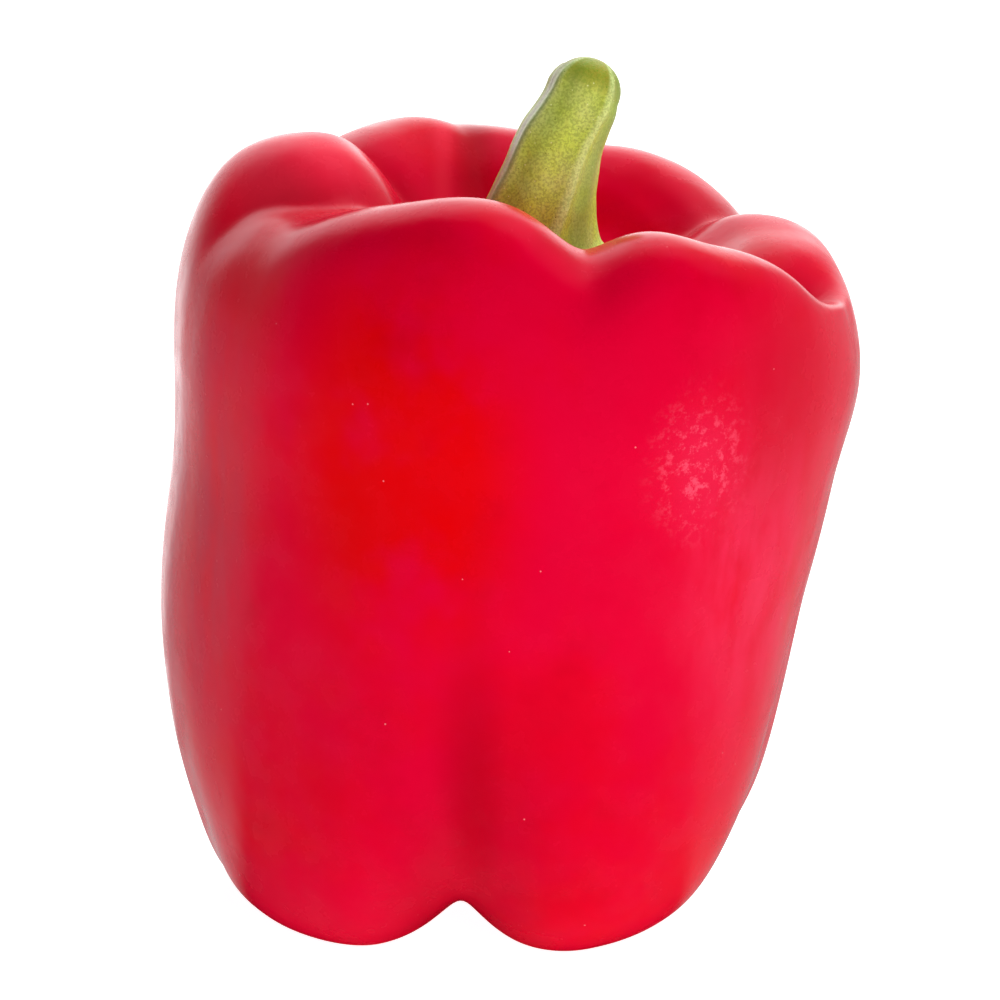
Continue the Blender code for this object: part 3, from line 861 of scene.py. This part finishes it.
def stem_material():
    """Woody stalk: speckled yellow-green, with a painted highlight along its ridges, a painted grey
    sheen down one side, painted shade in a crease and on two faces, olive towards the end and pithy
    where it was cut."""
    material, tree, shader = new_material("stem_stalk")
    place = add_node(tree, "ShaderNodeTexCoord").outputs["Object"]
    clouds = add_range(tree, add_noise(tree, place, *STALK_CLOUDS), 0.35, 0.70, 0.0, 0.45)
    colour = add_mix(tree, clouds, STALK_GREEN, STALK_PALE)
    climb = add_attribute(tree, "climb")
    colour = add_mix(tree, add_range(tree, climb, 0.32, 0.80, 0.0, 0.90), colour, STALK_TIP)
    # A painted highlight along the ridges.
    ridge = add_range(tree, add_attribute(tree, "ridge"), 0.60, 1.0, 0.0, 0.55)
    colour = add_mix(tree, ridge, colour, STALK_PALE)
    # Painted shade in a crease and on two faces.
    shade = add_math(tree, "MULTIPLY", add_attribute(tree, "shade_side"), STALK_SHADE_STRENGTH)
    colour = add_mix(tree, shade, colour, STALK_DARK)
    # A painted grey sheen down one side.
    colour = add_mix(tree, add_attribute(tree, "sheen_side"), colour, STALK_SHEEN_GREY)
    speckle = add_range(tree, add_noise(tree, place, *STALK_SPECKLE), 0.42, 0.60, 0.0, 0.44)
    colour = add_mix(tree, speckle, colour, STALK_DARK)
    colour = add_mix(tree, add_flecks(tree, place, *STALK_DARK_DOTS), colour, STALK_DARK)
    colour = add_mix(tree, add_flecks(tree, place, *STALK_PALE_DOTS), colour, STALK_PALE)
    colour = add_mix(tree, add_attribute(tree, "cut"), colour, PITH)
    tree.links.new(colour, shader.inputs["Base Color"])
    shader.inputs["Roughness"].default_value = STALK_ROUGHNESS
    stretched = add_node(tree, "ShaderNodeMapping", Scale=FIBRE_STRETCH)
    tree.links.new(place, stretched.inputs["Vector"])
    fibre_noise = add_noise(tree, stretched.outputs["Vector"], *STALK_FIBRES)
    fibres = add_bump(tree, fibre_noise, *STALK_FIBRE_BUMP)
    grain = add_bump(tree, add_noise(tree, place, *STALK_GRAIN), *STALK_GRAIN_BUMP, fibres)
    tree.links.new(grain, shader.inputs["Normal"])
    return material


stem = build_stem()
stem.data.materials.append(stem_material())
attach(stem, "root")
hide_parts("stem")

# ---------------------------------------------------------------------------------------------
# The table: a wide sheet of white card under the pepper. The glossy skin mirrors it as it mirrors
# the room: dark in front, pale at the sides and bright behind on the left.

TABLE_HALF_WIDTH = 6.0
CARD_GREY = (0.62, 0.62, 0.62, 1.0)
CARD_ROUGHNESS = 0.9
CARD_GLOW = 0.97
WHITE = (1.0, 1.0, 1.0, 1.0)
# The mirrored studio, at the sides and behind: the direction that it brightens in, how far along
# that direction it begins and is full, and how bright. The sides have an even part and one by x.
SIDE_DIRECTION = (0.17, 1.0, -0.6)
SIDE_RANGE = (-0.42, -0.16)
SIDE_STRENGTH = (0.50, -0.12)
BACK_DIRECTION = (-0.20, 1.0, 0.45)
BACK_RANGE = (0.80, 1.0)
BACK_STRENGTH = 1.4


def build_brightness_group():
    """Shared effect: how bright the studio is in a direction, for what the glossy skin mirrors."""
    group = bpy.data.node_groups.new("studio_brightness", "ShaderNodeTree")
    group.interface.new_socket("Direction", in_out="INPUT", socket_type="NodeSocketVector")
    group.interface.new_socket("Brightness", in_out="OUTPUT", socket_type="NodeSocketFloat")
    start = group.nodes.new("NodeGroupInput")
    end = group.nodes.new("NodeGroupOutput")

    def reach_along(direction, low, high):
        along = add_node(group, "ShaderNodeVectorMath", operation="DOT_PRODUCT")
        along.inputs[1].default_value = direction
        group.links.new(start.outputs["Direction"], along.inputs[0])
        return add_range(group, along.outputs["Value"], low, high)

    axes = group.nodes.new("ShaderNodeSeparateXYZ")
    group.links.new(start.outputs["Direction"], axes.inputs["Vector"])
    even, by_side = SIDE_STRENGTH
    side_strength = add_node(group, "ShaderNodeMath", operation="MULTIPLY_ADD")
    group.links.new(axes.outputs["X"], side_strength.inputs[0])
    side_strength.inputs[1].default_value = by_side
    side_strength.inputs[2].default_value = even
    side_reach = reach_along(SIDE_DIRECTION, *SIDE_RANGE)
    side = add_math(group, "MULTIPLY", side_reach, side_strength.outputs["Value"])
    both = add_node(group, "ShaderNodeMath", operation="MULTIPLY_ADD")
    group.links.new(reach_along(BACK_DIRECTION, *BACK_RANGE), both.inputs[0])
    both.inputs[1].default_value = BACK_STRENGTH
    group.links.new(side, both.inputs[2])
    group.links.new(both.outputs["Value"], end.inputs["Brightness"])
    return group


STUDIO_BRIGHTNESS = build_brightness_group()


def add_brightness(tree, direction):
    node = tree.nodes.new("ShaderNodeGroup")
    node.node_tree = STUDIO_BRIGHTNESS
    tree.links.new(direction, node.inputs["Direction"])
    return node.outputs["Brightness"]


def build_table():
    bm = bmesh.new()
    bmesh.ops.create_grid(bm, x_segments=1, y_segments=1, size=TABLE_HALF_WIDTH)
    mesh = bpy.data.meshes.new("white_table")
    bm.to_mesh(mesh)
    bm.free()
    table = bpy.data.objects.new("white_table", mesh)
    bpy.context.scene.collection.objects.link(table)
    return table


def table_material():
    """White card that glows, as a lit table top does, and is mirrored as the studio is."""
    material, tree, shader = new_material("white_card")
    shader.inputs["Base Color"].default_value = CARD_GREY
    shader.inputs["Roughness"].default_value = CARD_ROUGHNESS
    shader.inputs["Specular IOR Level"].default_value = 0.0
    shader.inputs["Emission Color"].default_value = WHITE
    shader.inputs["Emission Strength"].default_value = CARD_GLOW
    place = add_node(tree, "ShaderNodeTexCoord").outputs["Object"]
    outward = add_node(tree, "ShaderNodeVectorMath", operation="NORMALIZE")
    tree.links.new(place, outward.inputs[0])
    mirrored = tree.nodes.new("ShaderNodeEmission")
    tree.links.new(add_brightness(tree, outward.outputs["Vector"]), mirrored.inputs["Color"])
    ray = tree.nodes.new("ShaderNodeLightPath")
    either = tree.nodes.new("ShaderNodeMixShader")
    tree.links.new(ray.outputs["Is Glossy Ray"], either.inputs["Fac"])
    tree.links.new(shader.outputs["BSDF"], either.inputs[1])
    tree.links.new(mirrored.outputs["Emission"], either.inputs[2])
    tree.links.new(either.outputs["Shader"], tree.nodes["Material Output"].inputs["Surface"])
    material.cycles.emission_sampling = "NONE"
    return material


table = build_table()
table.data.materials.append(table_material())

# ---------------------------------------------------------------------------------------------
# The light: a white studio with even light, mirrored as the table is, and soft lamps that the skin
# doesn't mirror: two in front, low and high, one above and behind, and one on the right.

ROOM_LIGHT = 0.04
LAMP_TARGET = Vector((0.0, 0.0, 0.05))


def build_studio():
    """A room that is seen as white, lights the pepper faintly and is mirrored as a studio."""
    world = bpy.data.worlds.new("studio")
    world.use_nodes = True
    tree = world.node_tree
    tree.nodes.clear()
    place = tree.nodes.new("ShaderNodeTexCoord")
    ray = tree.nodes.new("ShaderNodeLightPath")
    strength = add_node(tree, "ShaderNodeMix", data_type="FLOAT")
    tree.links.new(ray.outputs["Is Glossy Ray"], strength.inputs[0])
    strength.inputs[2].default_value = ROOM_LIGHT
    tree.links.new(add_brightness(tree, place.outputs["Generated"]), strength.inputs[3])
    around = add_node(tree, "ShaderNodeBackground")
    tree.links.new(strength.outputs[0], around.inputs["Color"])
    seen = tree.nodes.new("ShaderNodeBackground")
    seen.inputs["Color"].default_value = WHITE
    either = tree.nodes.new("ShaderNodeMixShader")
    tree.links.new(ray.outputs["Is Camera Ray"], either.inputs["Fac"])
    tree.links.new(around.outputs["Background"], either.inputs[1])
    tree.links.new(seen.outputs["Background"], either.inputs[2])
    out = tree.nodes.new("ShaderNodeOutputWorld")
    tree.links.new(either.outputs["Shader"], out.inputs["Surface"])
    world.cycles.sampling_method = "NONE"
    bpy.context.scene.world = world


def add_softbox(name, place, size, power):
    """A soft lamp of this size in metres and power in watts, turned to the pepper."""
    light = bpy.data.lights.new(name, "AREA")
    light.shape = "RECTANGLE"
    light.size, light.size_y = size
    light.energy = power
    lamp = bpy.data.objects.new(name, light)
    lamp.location = place
    lamp.rotation_euler = (LAMP_TARGET - Vector(place)).to_track_quat("-Z", "Y").to_euler()
    lamp.visible_glossy = False
    bpy.context.scene.collection.objects.link(lamp)


build_studio()
add_softbox("front_fill", (0.30, -1.05, 0.10), (0.8, 0.3), 5.1)
add_softbox("high_front_fill", (0.35, -1.0, 0.55), (0.6, 0.3), 1.7)
add_softbox("top_fill", (0.2, 0.5, 1.0), (0.9, 0.7), 11.5)
add_softbox("right_fill", (0.75, 0.1, 0.8), (0.5, 0.5), 3.8)

# ---------------------------------------------------------------------------------------------
# The camera: a long lens, a little above the pepper and looking down at it.

CAMERA_DISTANCE = 0.75
CAMERA_ELEVATION_DEG = 14.5
SEEN_WIDTH = 0.130
SENSOR_MM = 36.0
# The middle of the view: a point inside the fruit, in mm in the fruit's own axes, and in metres
# how far above it the camera aims.
VIEW_MIDDLE = Vector((4.16, 0.0, 52.1))
VIEW_LIFT = 0.00156


def build_camera():
    elevation = math.radians(CAMERA_ELEVATION_DEG)
    back = Vector((0.0, -math.cos(elevation), math.sin(elevation)))
    up = Vector((0.0, math.sin(elevation), math.cos(elevation)))
    target = (VIEW_MIDDLE + TO_FRAME) * MM + up * VIEW_LIFT
    lens = bpy.data.cameras.new("camera")
    lens.sensor_width = SENSOR_MM
    lens.lens = SENSOR_MM * CAMERA_DISTANCE / SEEN_WIDTH
    lens.clip_start = 0.01
    camera = bpy.data.objects.new("camera", lens)
    camera.location = target + back * CAMERA_DISTANCE
    camera.rotation_euler = back.to_track_quat("Z", "Y").to_euler()
    bpy.context.scene.collection.objects.link(camera)
    bpy.context.scene.camera = camera


build_camera()
bpy.context.scene.view_settings.view_transform = "Standard"
